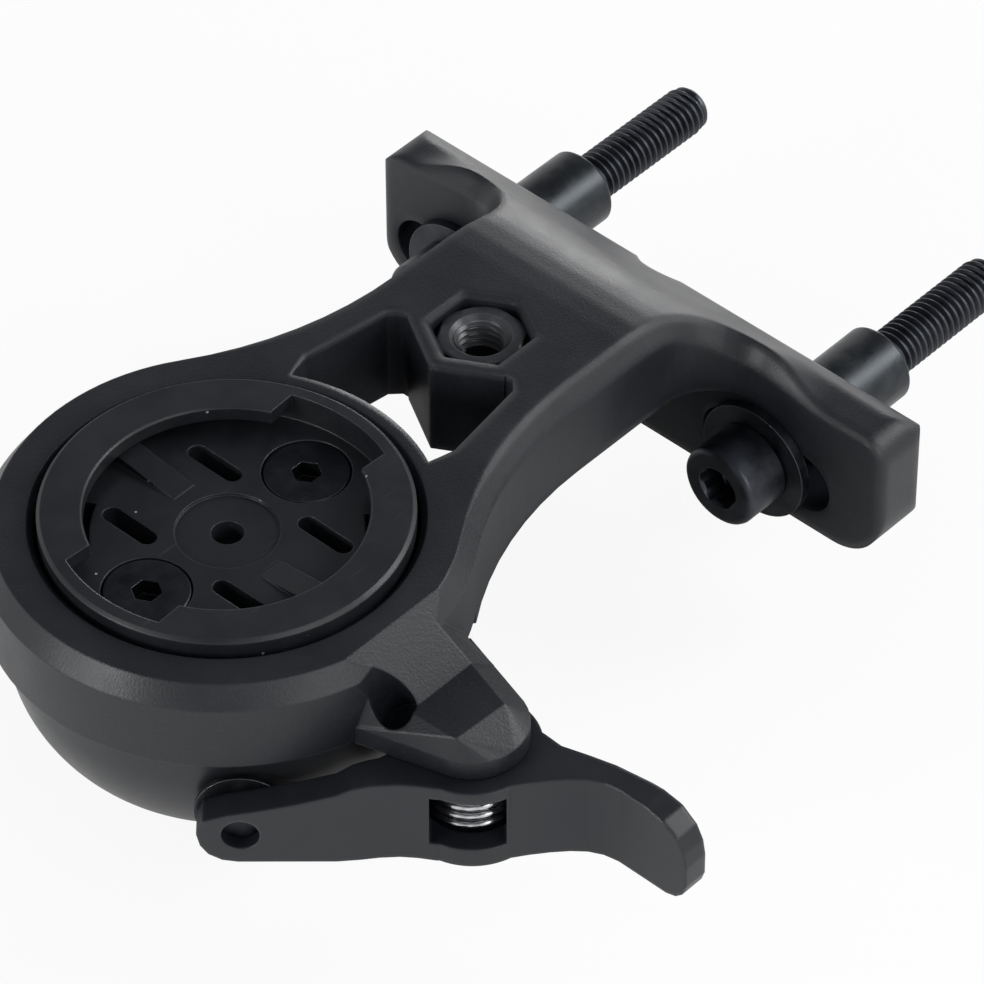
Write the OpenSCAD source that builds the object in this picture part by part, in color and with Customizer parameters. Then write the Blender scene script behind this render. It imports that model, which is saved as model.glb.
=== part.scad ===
// Out-front handlebar mount for a bike computer, with a bell under its round head.
// Millimetres. The origin is on the socket axis, level with the flat top of the head.
// X runs toward the bell lever, Y toward the handlebar and Z up.
// The head, the neck and the flange are one moulding. The neck and the two
// shoulders are lofted, and everything that turns or holds a screw is a true round.

/* [Head] */
// Outside radius of the round head
head_r = 22.5; // [21:0.1:25]
// Height of the head and of the neck
plate_h = 9.4; // [8.6:0.1:11]
// Width of the bevel round the top edge
edge_in = 1.4; // [0.6:0.1:2]
// Depth of the bevel round the top edge
edge_drop = 2.1; // [1:0.1:3]
// Depth of the seat for the socket ring
seat_depth = 4.4; // [3.6:0.1:5]
// Thickness of the web under the seat
web_t = 2.4; // [1.6:0.1:3]

/* [Computer socket] */
// Outside radius of the socket ring
ring_r = 17.05; // [16:0.05:19]
// Height of the ring above the head
ring_rise = 1.2; // [0.6:0.1:2]
// Radius inside the two lips
lip_r = 12.9; // [12:0.1:14]
// Radius of the channel under the lips
channel_r = 15.6; // [14.6:0.1:16.2]
// Thickness of the lips
lip_t = 1.5; // [1:0.1:2]
// Depth of the socket floor below the head
floor_depth = 1.8; // [1.4:0.1:2.6]
// Half the angle of each opening between the lips
gate_angle = 21.7; // [15:0.1:30]
// Distance of each insert screw from the socket axis
insert_screw_y = 10.3; // [9:0.1:11]

/* [Neck] */
// Half width of the neck at its waist
neck_half = 12.2; // [10:0.1:14]
// Distance from the socket axis to the waist
waist_y = 33.5; // [30:0.5:38]
// Distance from the socket axis to the accessory nut
nut_y = 33.7; // [32:0.1:36]
// Radius of the curve over the end of the neck
roll_r = 19; // [14:0.5:24]
// Depth of the neck below the base of the head
neck_drop = 1; // [0:0.1:2]

/* [Flange] */
// Front face of the flange
flange_y = 51.7; // [48:0.1:56]
// Thickness of the flange
flange_t = 6; // [4.5:0.1:8]
// Reach of the flange to the left of the neck
flange_left = 29.6; // [28:0.1:36]
// Reach of the flange to the right of the neck
flange_right = 33.6; // [28:0.1:38]
// Height of the flange
flange_h = 15.2; // [12:0.1:18]
// Distance from the middle to each clamp bolt
bolt_x = 19; // [16:0.1:22]
// Width of the bolt slots
slot_w = 6.5; // [5.4:0.1:7]

/* [Bell] */
// Outside radius of the bell
bell_r = 20.6; // [18:0.1:22]
// Wall thickness of the bell
bell_t = 1.2; // [0.8:0.1:2]
// Height of the bell from its rim to its lowest point
bell_h = 19.1; // [16:0.1:22]

/* [Lever] */
// Distance from the socket axis to the lever pin
pin_x = 28.6; // [27:0.1:30]
// Distance of the lever pin toward the handlebar
pin_y = 1.2; // [0:0.1:3]
// Height of the lever
lever_h = 9.2; // [7:0.1:11]
// Outside radius of the lever barrel
barrel_r = 6.8; // [6:0.1:8]
// Wire diameter of the lever spring
wire_d = 0.9; // [0.6:0.05:1.1]

/* [Fasteners] */
// Length of the clamp bolts under the head
bolt_len = 35; // [25:5:45]
// Length of the spacers on the clamp bolts
spacer_len = 11.5; // [8:0.5:16]
// Width across the flats of the accessory nut
nut_flats = 8; // [7:0.1:9]

/* [Hidden] */
$fn = 64;

// Clearances: turning fits, pressed fits, faces that rest on each other
turn_gap = 0.06;
press_gap = 0.02;
seat_gap = 0.04;

// Levels of the head
seat_z = -seat_depth;
web_z = seat_z - web_t;
base_z = -plate_h;
core_r = head_r - 6;
seat_r = ring_r + 0.35;

// Insert screws, M4 countersunk
csk_r = 4;
csk_shank_r = 1.98;
csk_top_z = -floor_depth - 0.05;
csk_land = 0.3;
csk_tip_z = csk_top_z - 8;
insert_bush_r = 2.88;
insert_bush_len = 5.6;

// Neck
neck_low = base_z - neck_drop;
waist_r = 37.1;
cove_r = 6;
cove_y = flange_y - cove_r;
cove_x = neck_half + cove_r;
roll_y = 41;
straight_y = 53;
back_y = flange_y + flange_t;
end_x = cove_x + 8.2;
end_edge = 0.5;
bevel_y = back_y - 2.1;
roll_slope = (straight_y - roll_y) / sqrt(roll_r * roll_r - pow(straight_y - roll_y, 2));

// Flange and slots
flange_bottom = -22;
flange_top = flange_bottom + flange_h;
bolt_z = -16.8;
slot_in = bolt_x - 3.8;
slot_out = bolt_x + 5.3;

// Clamp bolts, M5
m5_r = 2.5;
bolt_head_r = 4.2;
bolt_head_h = 5;
bolt_neck_r = m5_r - 0.25;
washer_t = 1;
washer_r = 6.1;
spacer_r = 4;

// Bell
bell_rim_z = base_z - 0.5;
bell_skirt_z = -13;
bell_foot_z = bell_rim_z - bell_h;
bell_room = 0.7;
bowl_h = bell_skirt_z - bell_foot_z;
post_r = 4.6;
post_z = bell_foot_z + 2.8;
bell_bush_len = 7;
grommet_r = 4.4;
grommet_neck_r = 2.9;

// Lever boss
ramp_x = 20.2;
crease_x = 25.3;
facet_z = -5;

// Lever, in its own frame turned toward the bell
lever_turn = 42.4;
lever_top = base_z - 0.3;
lever_bottom = lever_top - lever_h;
cavity_r = 4.7;
barrel_back_r = cavity_r + 1.2;
tab_len = 21.6;
window_top = lever_top - 1.35;
window_bottom = lever_bottom + 2.1;
sleeve_r = 2;
m3_r = 1.5;
striker_x = -20.5;
striker_z = -15.5;
striker_r = 1.7;
coil_r = 4;
coil_pitch = 1.1;
coil_turns = 4;
coil_low = lever_bottom + 1.95;
leg_low = lever_bottom + 0.6;
hub_floor = lever_bottom + 1.3;
hub_r = 3.3;
counterbore_r = 3;
counterbore_h = 1.1;

// Height of the top surface over the neck at a distance y
function roll(y) =
    y <= roll_y ? 0
    : y <= straight_y ? sqrt(roll_r * roll_r - pow(y - roll_y, 2)) - roll_r
    : roll(straight_y) - (y - straight_y) * roll_slope;

// Mirrored section of the neck from its wall point and its top edge point
function neck_section(wall, edge, top) = [
    [wall[0], wall[1], neck_low],
    [wall[0], wall[1], max(top - edge_drop, neck_low + 0.4)],
    [edge[0], edge[1], top],
    [-edge[0], edge[1], top],
    [-wall[0], wall[1], max(top - edge_drop, neck_low + 0.4)],
    [-wall[0], wall[1], neck_low]
];

// Solid through a row of sections that have the same number of points
module loft(rows) {
    count = len(rows);
    side = len(rows[0]);
    corners = [for (row = rows) each row];
    walls = [
        for (i = [0 : count - 2], j = [0 : side - 1])
            [
                i * side + j,
                i * side + (j + 1) % side,
                (i + 1) * side + (j + 1) % side,
                (i + 1) * side + j
            ]
    ];
    end = (count - 1) * side;
    first_cap = [for (j = [1 : side - 2]) [0, j + 1, j]];
    last_cap = [for (j = [1 : side - 2]) [end, end + j, end + j + 1]];
    polyhedron(corners, concat(walls, first_cap, last_cap), convexity = 8);
}

// Upright prism from an outline, between two levels
module prism(low, high) {
    translate([0, 0, low])
        linear_extrude(height = high - low)
            children();
}

// Round bar along Y from a start to an end
module bar_y(from, to, r) {
    translate([0, from, 0])
        rotate([-90, 0, 0])
            cylinder(h = to - from, r = r);
}

// Rounded slot outline lying along X
module slot_outline(from, to, width) {
    translate([from, 0])
        circle(d = width);
    translate([to, 0])
        circle(d = width);
    translate([from, -width / 2])
        square([to - from, width]);
}

// Hexagon outline with two corners on the Y axis
module hex_outline(flats) {
    rotate(90)
        circle(r = flats / sqrt(3), $fn = 6);
}

// Round head with its top and bottom edges broken
module head_body() {
    rotate_extrude($fn = 128)
        polygon([
            [0, base_z],
            [head_r - 0.4, base_z],
            [head_r, base_z + 0.4],
            [head_r, -edge_drop],
            [head_r - edge_in, 0],
            [0, 0]
        ]);
}

// Neck, waisted in plan, rolled over toward the flange and relieved round the bell
module neck_body() {
    edge_half = neck_half - edge_in;
    waist_x = neck_half + waist_r;
    reach = 34.2;
    waist = [
        for (i = [0 : 8])
            let (a = -reach + reach * i / 8)
                neck_section(
                    [waist_x - waist_r * cos(a), waist_y + waist_r * sin(a)],
                    [waist_x - (waist_r + edge_in) * cos(a), waist_y + (waist_r + edge_in) * sin(a)],
                    0
                )
    ];
    straight = [
        for (y = [roll_y, roll_y + 2.4, cove_y])
            neck_section([neck_half, y], [edge_half, y], roll(y))
    ];
    cove = [
        for (i = [1 : 8])
            let (a = 90 * i / 8, y = cove_y + (cove_r + edge_in) * sin(a))
                neck_section(
                    [cove_x - cove_r * cos(a), cove_y + cove_r * sin(a)],
                    [cove_x - (cove_r + edge_in) * cos(a), y],
                    roll(y)
                )
    ];
    root = [neck_section([14, 6], [12.6, 6], 0)];
    tail = [neck_section([cove_x - 0.6, back_y - 3], [cove_x - 2, back_y - 3], roll(back_y - 3) - 0.6)];
    difference() {
        loft(concat(root, waist, straight, cove, tail));
        prism(neck_low - 1, base_z)
            circle(r = bell_r + bell_room, $fn = 96);
    }
}

// Height of the top of the flange ends at a distance y, bevelled at the back
function end_top(y) = flange_top - max(0, y - bevel_y) * (flange_top - roll(back_y)) / (back_y - bevel_y);

// Value between two others
function between(from, to, part) = from + (to - from) * part;

// Distance of point number i over the top of a shoulder, from its front edge to its back
function shoulder_y(front, i) =
    i < 3 ? between(flange_y + front, bevel_y, i / 3) : between(bevel_y, back_y, (i - 3) / 2);

// One section of the two shoulders at a distance x, part of the way from neck to flange end
function shoulder_section(x, part) =
    let (front = between(edge_in, end_edge, part))
    [
        [x, back_y, neck_low - 1],
        [x, flange_y, neck_low - 1],
        [x, flange_y, between(roll(flange_y + edge_in) - edge_drop, flange_top - end_edge, part)],
        for (i = [0 : 5])
            let (y = shoulder_y(front, i))
                [x, y, between(roll(y), end_top(y), part)]
    ];

// Shoulders that fall from the neck to the flange ends
module shoulder_body() {
    right = [
        for (i = [0 : 7])
            let (t = i / 7)
                shoulder_section(between(cove_x, end_x, t), t * t * (3 - 2 * t))
    ];
    left = [
        for (i = [7 : -1 : 0])
            let (t = i / 7)
                shoulder_section(-between(cove_x, end_x, t), t * t * (3 - 2 * t))
    ];
    loft(concat(left, right));
}

// Half of the face outline of the flange out to its reach, drawn in X and Z
module flange_half_face(reach) {
    top_r = 2.8;
    bottom_r = 5.5;
    translate([reach - top_r, flange_top - top_r])
        circle(r = top_r);
    translate([reach - bottom_r, flange_bottom + bottom_r])
        circle(r = bottom_r);
    translate([end_x, flange_top - 2 * top_r])
        square([reach - top_r - end_x, 2 * top_r]);
    translate([-1, flange_bottom])
        square([reach - bottom_r + 1, bottom_r + 1]);
    translate([-1, flange_bottom + bottom_r])
        square([reach + 1, flange_h - bottom_r - top_r]);
}

// Plan outline of the flange with its upright corners broken, drawn in X and Y
module flange_plan() {
    corner = 0.9;
    for (x = [-flange_left + corner, flange_right - corner], y = [flange_y + corner, back_y - corner])
        translate([x, y])
            circle(r = corner, $fn = 32);
    translate([-flange_left, flange_y + corner])
        square([flange_left + flange_right, flange_t - 2 * corner]);
    translate([corner - flange_left, flange_y])
        square([flange_left + flange_right - 2 * corner, flange_t]);
}

// Cross section of the flange, drawn in Y and Z
module flange_section() {
    polygon([
        [flange_y, flange_bottom],
        [flange_y, flange_top - end_edge],
        [flange_y + end_edge, flange_top],
        [bevel_y, flange_top],
        [back_y, roll(back_y)],
        [back_y, flange_bottom]
    ]);
}

// Flange that clamps to the handlebar
module flange_body() {
    intersection() {
        translate([-flange_left - 1, 0, 0])
            rotate([90, 0, 90])
                linear_extrude(height = flange_left + flange_right + 2)
                    flange_section();
        translate([0, back_y + 1, 0])
            rotate([90, 0, 0])
                linear_extrude(height = flange_t + 2) {
                    flange_half_face(flange_right);
                    mirror([1, 0])
                        flange_half_face(flange_left);
                }
        prism(flange_bottom - 1, flange_top + 1)
            flange_plan();
    }
}

// Rib that carries the flange under the neck
module root_rib() {
    translate([-7, 0, 0])
        rotate([90, 0, 90])
            linear_extrude(height = 14)
                polygon([
                    [flange_y + 1, -17],
                    [flange_y, -17],
                    [flange_y - 6, neck_low],
                    [flange_y - 6, neck_low + 1],
                    [flange_y + 1, neck_low + 1]
                ]);
}

// Boss at the side of the head that carries the lever pin
module lever_boss() {
    boss_r = 5.2;
    root_x = 21.5;
    wall_z = base_z + 2;
    hull() {
        translate([pin_x, pin_y, base_z])
            cylinder(h = wall_z - base_z, r = boss_r, $fn = 36);
        translate([root_x, pin_y - 7.5, base_z])
            cube([0.1, 15, wall_z - base_z]);
        prism(facet_z - 0.1, facet_z)
            polygon([
                [crease_x, pin_y - 4.5],
                [30.6, pin_y - 4.2],
                [30.9, pin_y + 1.8],
                [crease_x, pin_y + 3.5]
            ]);
    }
    hull() {
        translate([19, pin_y - 8, base_z])
            cube([0.1, 16, wall_z - base_z]);
        translate([crease_x, pin_y - 6.4, base_z])
            cube([0.1, 12.8, wall_z - base_z]);
        translate([crease_x, pin_y - 4.5, facet_z - 0.05])
            cube([0.05, 8, 0.05]);
        translate([ramp_x, pin_y - 5, -0.1])
            cube([0.05, 7.4, 0.05]);
    }
}

// Space above the slope from the top of the head down to the boss
module ramp_cut() {
    translate([ramp_x, pin_y, 0])
        rotate([0, atan(-facet_z / (crease_x - ramp_x)), 0])
            translate([0, -9, 0])
                cube([7, 18, 8]);
}

// Arched relief beside the lever boss
module boss_relief() {
    translate([23.4, -4.6, -3])
        rotate([0, 0, 65.2])
            rotate([0, -25.5, 0])
                translate([0, 0, -5.2])
                    cylinder(h = 6.7, r = 1.9, $fn = 32);
}

// Window through the neck, with a hexagon boss left for the nut
module neck_window() {
    difference() {
        polygon([
            [-8.2, 16], [8.2, 16], [8.9, 18.4], [9.3, 20], [7.9, 29.4],
            [6.9, 30.4], [-6.9, 30.4], [-7.9, 29.4], [-9.3, 20], [-8.9, 18.4]
        ]);
        circle(r = seat_r + 1.9, $fn = 128);
        translate([0, nut_y])
            hex_outline(nut_flats + 4.12);
    }
}

// Pocket and hole for the accessory nut
module nut_pocket() {
    pocket = nut_flats + 0.4;
    nut_bottom = -4.9;
    translate([0, nut_y, 0]) {
        prism(nut_bottom, 1)
            hex_outline(pocket);
        translate([0, 0, -0.5])
            rotate(90)
                cylinder(h = 0.6, r1 = pocket / sqrt(3), r2 = pocket / sqrt(3) + 0.6, $fn = 6);
        prism(neck_low - 1, 0)
            circle(r = 2.75);
    }
}

// Slots for the two clamp bolts
module bolt_slots() {
    for (side = [-1, 1])
        translate([0, back_y + 1, bolt_z])
            rotate([90, 0, 0])
                linear_extrude(height = flange_t + 2)
                    mirror([side < 0 ? 1 : 0, 0])
                        slot_outline(slot_in, slot_out, slot_w);
}

// Shallow scoop in the back edge of the flange
module edge_scoop() {
    r = 6.4;
    depth = 1.3;
    tilt = 60;
    translate([0.9, back_y + r * sin(tilt), roll(back_y) - depth + r * cos(tilt)])
        rotate([-tilt, 0, 0])
            bar_y(-8, 8, r);
}

// Head seat, underside core and the places of all the bushes
module bracket_cuts() {
    mouth = 0.6;
    rotate_extrude($fn = 128)
        polygon([
            [0, seat_z],
            [seat_r, seat_z],
            [seat_r, -mouth],
            [seat_r + mouth, 0],
            [seat_r + mouth, 2],
            [0, 2]
        ]);
    prism(-60, 1)
        neck_window();
    nut_pocket();
    bolt_slots();
    boss_relief();
    translate([pin_x, pin_y, base_z - 1])
        cylinder(h = 4.5 + press_gap, r = 2.3 + press_gap);
    at_lever()
        translate([0, coil_r, base_z - 1])
            cylinder(h = 2.4, r = wire_d / 2 + 0.1);
    edge_scoop();
}

// Ring of space under the head that makes room for the bell
module underside_core() {
    boss_r = 4;
    difference() {
        translate([0, 0, base_z - 1])
            cylinder(h = web_z - base_z + 1, r = core_r, $fn = 96);
        for (side = [-1, 1])
            translate([0, side * insert_screw_y, base_z - 2])
                cylinder(h = 6, r = boss_r);
        translate([0, 0, base_z - 2])
            cylinder(h = 6, r = post_r + 0.4);
    }
}

// Bosses for the insert screws and the post for the bell
module underside_posts() {
    boss_r = 4;
    boss_h = 1.2;
    for (side = [-1, 1])
        translate([0, side * insert_screw_y, base_z - boss_h])
            cylinder(h = boss_h + 1, r = boss_r);
    rotate_extrude()
        polygon([
            [0, post_z],
            [post_r - 0.4, post_z],
            [post_r, post_z + 0.4],
            [post_r + 0.4, base_z],
            [post_r + 0.4, web_z + 0.5],
            [0, web_z + 0.5]
        ]);
}

// Holes for the brass bushes in the head
module bush_holes() {
    for (side = [-1, 1])
        translate([0, side * insert_screw_y, 0]) {
            translate([0, 0, seat_z - insert_bush_len - press_gap])
                cylinder(h = insert_bush_len + 1, r = insert_bush_r + press_gap);
            translate([0, 0, -20])
                cylinder(h = 20, r = csk_shank_r + 0.4);
        }
    translate([0, 0, post_z - 1])
        cylinder(h = bell_bush_len + 1 + press_gap, r = insert_bush_r + press_gap);
    translate([0, 0, post_z - 1])
        cylinder(h = bell_bush_len + 3, r = csk_shank_r + 0.3);
}

module bracket() {
    color([0.07, 0.07, 0.075])
        difference() {
            union() {
                difference() {
                    union() {
                        difference() {
                            head_body();
                            ramp_cut();
                        }
                        neck_body();
                        shoulder_body();
                        flange_body();
                        root_rib();
                        lever_boss();
                    }
                    bracket_cuts();
                    underside_core();
                }
                underside_posts();
            }
            bush_holes();
        }
}

// Opening between the lips, with slanted ends
module gate_outline() {
    outer_x = channel_r * sin(gate_angle);
    outer_y = channel_r * cos(gate_angle);
    inner_x = (lip_r - 1) * sin(gate_angle + 6.2);
    inner_y = (lip_r - 1) * cos(gate_angle + 6.2);
    intersection() {
        circle(r = channel_r, $fn = 128);
        polygon([
            [-inner_x, inner_y],
            [inner_x, inner_y],
            [outer_x, outer_y],
            [outer_x, channel_r + 1],
            [-outer_x, channel_r + 1],
            [-outer_x, outer_y]
        ]);
    }
}

// Pocket in the floor where a tab of the computer comes to rest
module tab_pocket() {
    intersection() {
        difference() {
            circle(r = channel_r, $fn = 128);
            circle(r = lip_r - 0.5, $fn = 128);
        }
        polygon([[0, 0], [20 * cos(26), 20 * sin(26)], [20 * cos(52), 20 * sin(52)]]);
    }
}

// Wedge on the socket floor that rises toward the ring
module floor_wedge() {
    rise = 0.9;
    length = 7.4;
    translate([6.3, 0, -floor_depth])
        rotate([90, 0, 0])
            linear_extrude(height = 2.6)
                polygon([[0, -0.1], [length, -0.1], [length, rise], [0, 0.05]]);
}

module computer_insert() {
    floor_z = -floor_depth;
    top_z = ring_rise;
    edge = 0.35;
    head_drop = csk_r - csk_shank_r;
    color([0.05, 0.05, 0.06])
        difference() {
            union() {
                rotate_extrude($fn = 128)
                    polygon([
                        [0, seat_z + seat_gap],
                        [ring_r - edge, seat_z + seat_gap],
                        [ring_r, seat_z + seat_gap + edge],
                        [ring_r, top_z - edge],
                        [ring_r - edge, top_z],
                        [lip_r + edge / 2, top_z],
                        [lip_r, top_z - edge / 2],
                        [lip_r, top_z - lip_t],
                        [channel_r, top_z - lip_t],
                        [channel_r, floor_z],
                        [0, floor_z]
                    ]);
                for (turn = [0, 180])
                    rotate(turn)
                        translate([0, 0.4, 0])
                            floor_wedge();
            }
            for (turn = [0, 180])
                rotate(turn) {
                    prism(floor_z, top_z + 1)
                        gate_outline();
                    prism(seat_z + 1, floor_z + 0.05)
                        tab_pocket();
                    for (side = [-1, 1])
                        translate([0, side * 5.5, 0])
                            prism(seat_z - 1, floor_z + 1)
                                slot_outline(4.7, 9.1, 1.8);
                    translate([0, insert_screw_y, 0]) {
                        translate([0, 0, floor_z - csk_land - 0.1])
                            cylinder(h = 3, r = csk_r + 0.15);
                        translate([0, 0, floor_z - csk_land - 0.1 - head_drop])
                            cylinder(h = head_drop, r1 = csk_shank_r + 0.15, r2 = csk_r + 0.15);
                        translate([0, 0, seat_z - 1])
                            cylinder(h = 3, r = csk_shank_r + 0.15);
                    }
                }
            translate([0, 0, floor_z - 0.3])
                cylinder(h = 3, r = 4.8, $fn = 96);
            translate([0, 0, seat_z - 1])
                cylinder(h = 6, r = 1.5);
        }
}

// Countersunk screw standing on the Z axis
module countersunk_screw() {
    cone_h = csk_r - csk_shank_r;
    difference() {
        rotate_extrude()
            polygon([
                [0, csk_tip_z],
                [csk_shank_r - 0.4, csk_tip_z],
                [csk_shank_r, csk_tip_z + 0.4],
                [csk_shank_r, csk_top_z - csk_land - cone_h],
                [csk_r, csk_top_z - csk_land],
                [csk_r, csk_top_z - 0.12],
                [csk_r - 0.12, csk_top_z],
                [0, csk_top_z]
            ]);
        prism(csk_top_z - 1.7, csk_top_z + 1)
            hex_outline(2.5);
    }
}

module rear_insert_screw() {
    color([0.09, 0.09, 0.1])
        translate([0, insert_screw_y, 0])
            countersunk_screw();
}

module front_insert_screw() {
    color([0.09, 0.09, 0.1])
        translate([0, -insert_screw_y, 0])
            countersunk_screw();
}

// Brass bush with its top at z = 0
module bush(r, bore, length) {
    edge = 0.3;
    rotate_extrude()
        polygon([
            [bore, -length],
            [r - edge, -length],
            [r, edge - length],
            [r, -edge],
            [r - edge, 0],
            [bore, 0]
        ]);
}

module rear_insert_bush() {
    color([0.75, 0.6, 0.3])
        translate([0, insert_screw_y, seat_z])
            bush(insert_bush_r, csk_shank_r + press_gap, insert_bush_len);
}

module front_insert_bush() {
    color([0.75, 0.6, 0.3])
        translate([0, -insert_screw_y, seat_z])
            bush(insert_bush_r, csk_shank_r + press_gap, insert_bush_len);
}

module accessory_nut() {
    nut_top = -0.9;
    thickness = 4;
    bore = 2.1;
    color([0.62, 0.62, 0.64])
        translate([0, nut_y, nut_top - thickness])
            difference() {
                intersection() {
                    prism(seat_gap, thickness)
                        hex_outline(nut_flats);
                    cylinder(h = thickness, r1 = 10, r2 = nut_flats / 2 + 0.42);
                }
                translate([0, 0, -1])
                    cylinder(h = thickness + 2, r = bore);
                translate([0, 0, thickness - 0.7])
                    cylinder(h = 0.8, r1 = bore, r2 = bore + 0.8);
            }
}

// Half outline of the bell, outside radius r and height h below the skirt
function bell_curve(r, h) = [
    for (i = [0 : 16])
        let (a = 90 * i / 16)
            [r * cos(a), bell_skirt_z - h * sin(a)]
];

// Level of a bell curve at a distance x from the axis
function bell_level(x, r, h) = bell_skirt_z - h * sqrt(1 - pow(x / r, 2));

module bell_dome() {
    edge = 0.3;
    outer = bell_curve(bell_r, bowl_h);
    inner = bell_curve(bell_r - bell_t, bowl_h - bell_t);
    color([0.08, 0.08, 0.085])
        difference() {
            rotate_extrude($fn = 96)
                polygon(concat(
                    [[bell_r - bell_t, bell_rim_z]],
                    [[bell_r - edge, bell_rim_z], [bell_r, bell_rim_z - edge]],
                    [for (p = outer) [max(p[0], 0), p[1]]],
                    [for (i = [16 : -1 : 0]) [max(inner[i][0], 0), inner[i][1]]]
                ));
            translate([0, 0, bell_foot_z - 1])
                cylinder(h = 6, r = grommet_neck_r + press_gap);
        }
}

// Soft grommet that keeps the bell ringing
module bell_grommet() {
    inner_top = bell_level(grommet_r, bell_r - bell_t, bowl_h - bell_t) + 0.06;
    outer_top = bell_level(grommet_neck_r, bell_r, bowl_h) - 0.06;
    bore = csk_shank_r + 0.1;
    color([0.1, 0.1, 0.1])
        rotate_extrude()
            polygon([
                [bore, bell_foot_z - 0.9],
                [grommet_r, bell_foot_z - 0.9],
                [grommet_r, outer_top],
                [grommet_neck_r, outer_top],
                [grommet_neck_r, inner_top],
                [grommet_r, inner_top],
                [grommet_r, post_z - seat_gap],
                [bore, post_z - seat_gap]
            ]);
}

module bell_screw() {
    seat = bell_foot_z - 0.9 - seat_gap;
    head_h = 2.1;
    tip = post_z + bell_bush_len - 0.4;
    color([0.09, 0.09, 0.1])
        difference() {
            rotate_extrude()
                polygon([
                    [0, tip],
                    [csk_shank_r - 0.4, tip],
                    [csk_shank_r, tip - 0.4],
                    [csk_shank_r, seat],
                    [3.8, seat],
                    [3.8, seat - 0.5],
                    [3.35, seat - 1.3],
                    [2.5, seat - 1.9],
                    [1.8, seat - head_h],
                    [0, seat - head_h]
                ]);
            prism(seat - head_h - 1, seat - 0.7)
                hex_outline(2.5);
        }
}

module bell_bush() {
    color([0.75, 0.6, 0.3])
        translate([0, 0, post_z + bell_bush_len])
            bush(insert_bush_r, csk_shank_r + press_gap, bell_bush_len);
}

// Places its children in the frame of the lever, on the lever pin
module at_lever() {
    translate([pin_x, pin_y, 0])
        rotate(lever_turn)
            children();
}

// Plan outline of the lever without its end tab
module lever_outline() {
    translate([0, (barrel_back_r - barrel_r) / 2])
        circle(r = (barrel_back_r + barrel_r) / 2, $fn = 72);
    polygon([
        [-24.4, -6.2], [-12, -6.2], [-9.9, -6], [-8.2, -5.75],
        [-6.4, -5.65], [-4.8, -5.8], [-3.2, -6.1], [0, -6.2], [0, 0],
        [-6, -0.8], [-8.2, -2.3], [-12, -3.36], [-24.4, -3.36]
    ]);
}

// Plan outline of the short arm and of the tab that the thumb pushes
module tab_outline() {
    translate([pin_x, pin_y])
        polygon([
            [0, 0], [2, -6.2], [4.3, -4.9], [6, -2.6], [7.4, -0.6], [8.6, 0.9],
            [9.8, 2.2], [11, 3.2], [12.3, 3.85], [13.8, 4.15], [tab_len, 4.15],
            [tab_len, 6.75], [18.4, 6.9], [15.4, 6.75], [11.6, 6.2], [9, 5.5],
            [6.4, 4.7], [4.4, 4.8], [2.4, 4.7], [0, 5]
        ]);
}

// Side outline of the lever, drawn in the lever's X and Z
module lever_face() {
    polygon([
        [-24.4, lever_top - 5.4],
        [-23.8, lever_top - 4.1],
        [-21.5, lever_top - 3.3],
        [-19, lever_top - 2.8],
        [-15.4, lever_top - 1.9],
        [-11.9, lever_top - 0.8],
        [-10.5, lever_top - 0.15],
        [-9.4, lever_top],
        [barrel_r + 1, lever_top],
        [barrel_r + 1, lever_bottom],
        [-20.8, lever_bottom],
        [-22.2, lever_bottom + 0.25],
        [-23.4, lever_bottom + 1],
        [-24.1, lever_bottom + 2.1],
        [-24.4, lever_bottom + 3.5]
    ]);
}

// Side outline of the tab, drawn in X and Z
module tab_face() {
    tip_x = pin_x + tab_len;
    polygon([
        [pin_x - 1, lever_top],
        [tip_x - 5, lever_top],
        [tip_x - 2.8, lever_top - 0.5],
        [tip_x - 1.1, lever_top - 1.6],
        [tip_x - 0.3, lever_top - 3],
        [tip_x, lever_top - 4.6],
        [tip_x, lever_bottom + 2.2],
        [tip_x - 0.35, lever_bottom + 1.1],
        [tip_x - 1.1, lever_bottom + 0.35],
        [tip_x - 2.2, lever_bottom],
        [pin_x - 1, lever_bottom]
    ]);
}

// Space in the barrel for the spring, open at the window in front
module spring_room() {
    difference() {
        translate([0, 0, hub_floor])
            cylinder(h = window_top - hub_floor, r = cavity_r);
        translate([0, 0, hub_floor - 1])
            cylinder(h = coil_low - hub_floor + 1, r = hub_r);
    }
    translate([-3.8, -10, window_bottom])
        cube([6.85, 10, window_top - window_bottom]);
}

// Curved slot between two levels that a leg of the spring can swing in
module leg_slot(low, high) {
    reach = 28;
    room = wire_d / 2 + 0.15;
    intersection() {
        difference() {
            prism(low, high)
                circle(r = coil_r + room);
            prism(low - 1, high + 1)
                circle(r = coil_r - room);
        }
        prism(low, high)
            polygon([[0, 0], [14 * sin(-reach), 14 * cos(reach)], [14 * sin(reach), 14 * cos(reach)]]);
    }
}

module lever() {
    color([0.06, 0.06, 0.065])
        difference() {
            union() {
                at_lever()
                    intersection() {
                        prism(lever_bottom, lever_top)
                            lever_outline();
                        translate([0, 20, 0])
                            rotate([90, 0, 0])
                                linear_extrude(height = 40)
                                    lever_face();
                    }
                intersection() {
                    prism(lever_bottom, lever_top)
                        tab_outline();
                    translate([0, 30, 0])
                        rotate([90, 0, 0])
                            linear_extrude(height = 60)
                                tab_face();
                }
            }
            at_lever() {
                spring_room();
                leg_slot(window_top - 1, lever_top + 1);
                leg_slot(leg_low - 0.15, hub_floor + 0.2);
                translate([0, 0, lever_bottom - 1])
                    cylinder(h = lever_h + 2, r = sleeve_r + turn_gap);
                translate([0, 0, lever_bottom - 1])
                    cylinder(h = counterbore_h + 1, r = counterbore_r);
                translate([striker_x, -10, striker_z])
                    rotate([-90, 0, 0])
                        cylinder(h = 10, r = striker_r + press_gap);
            }
        }
}

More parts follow.
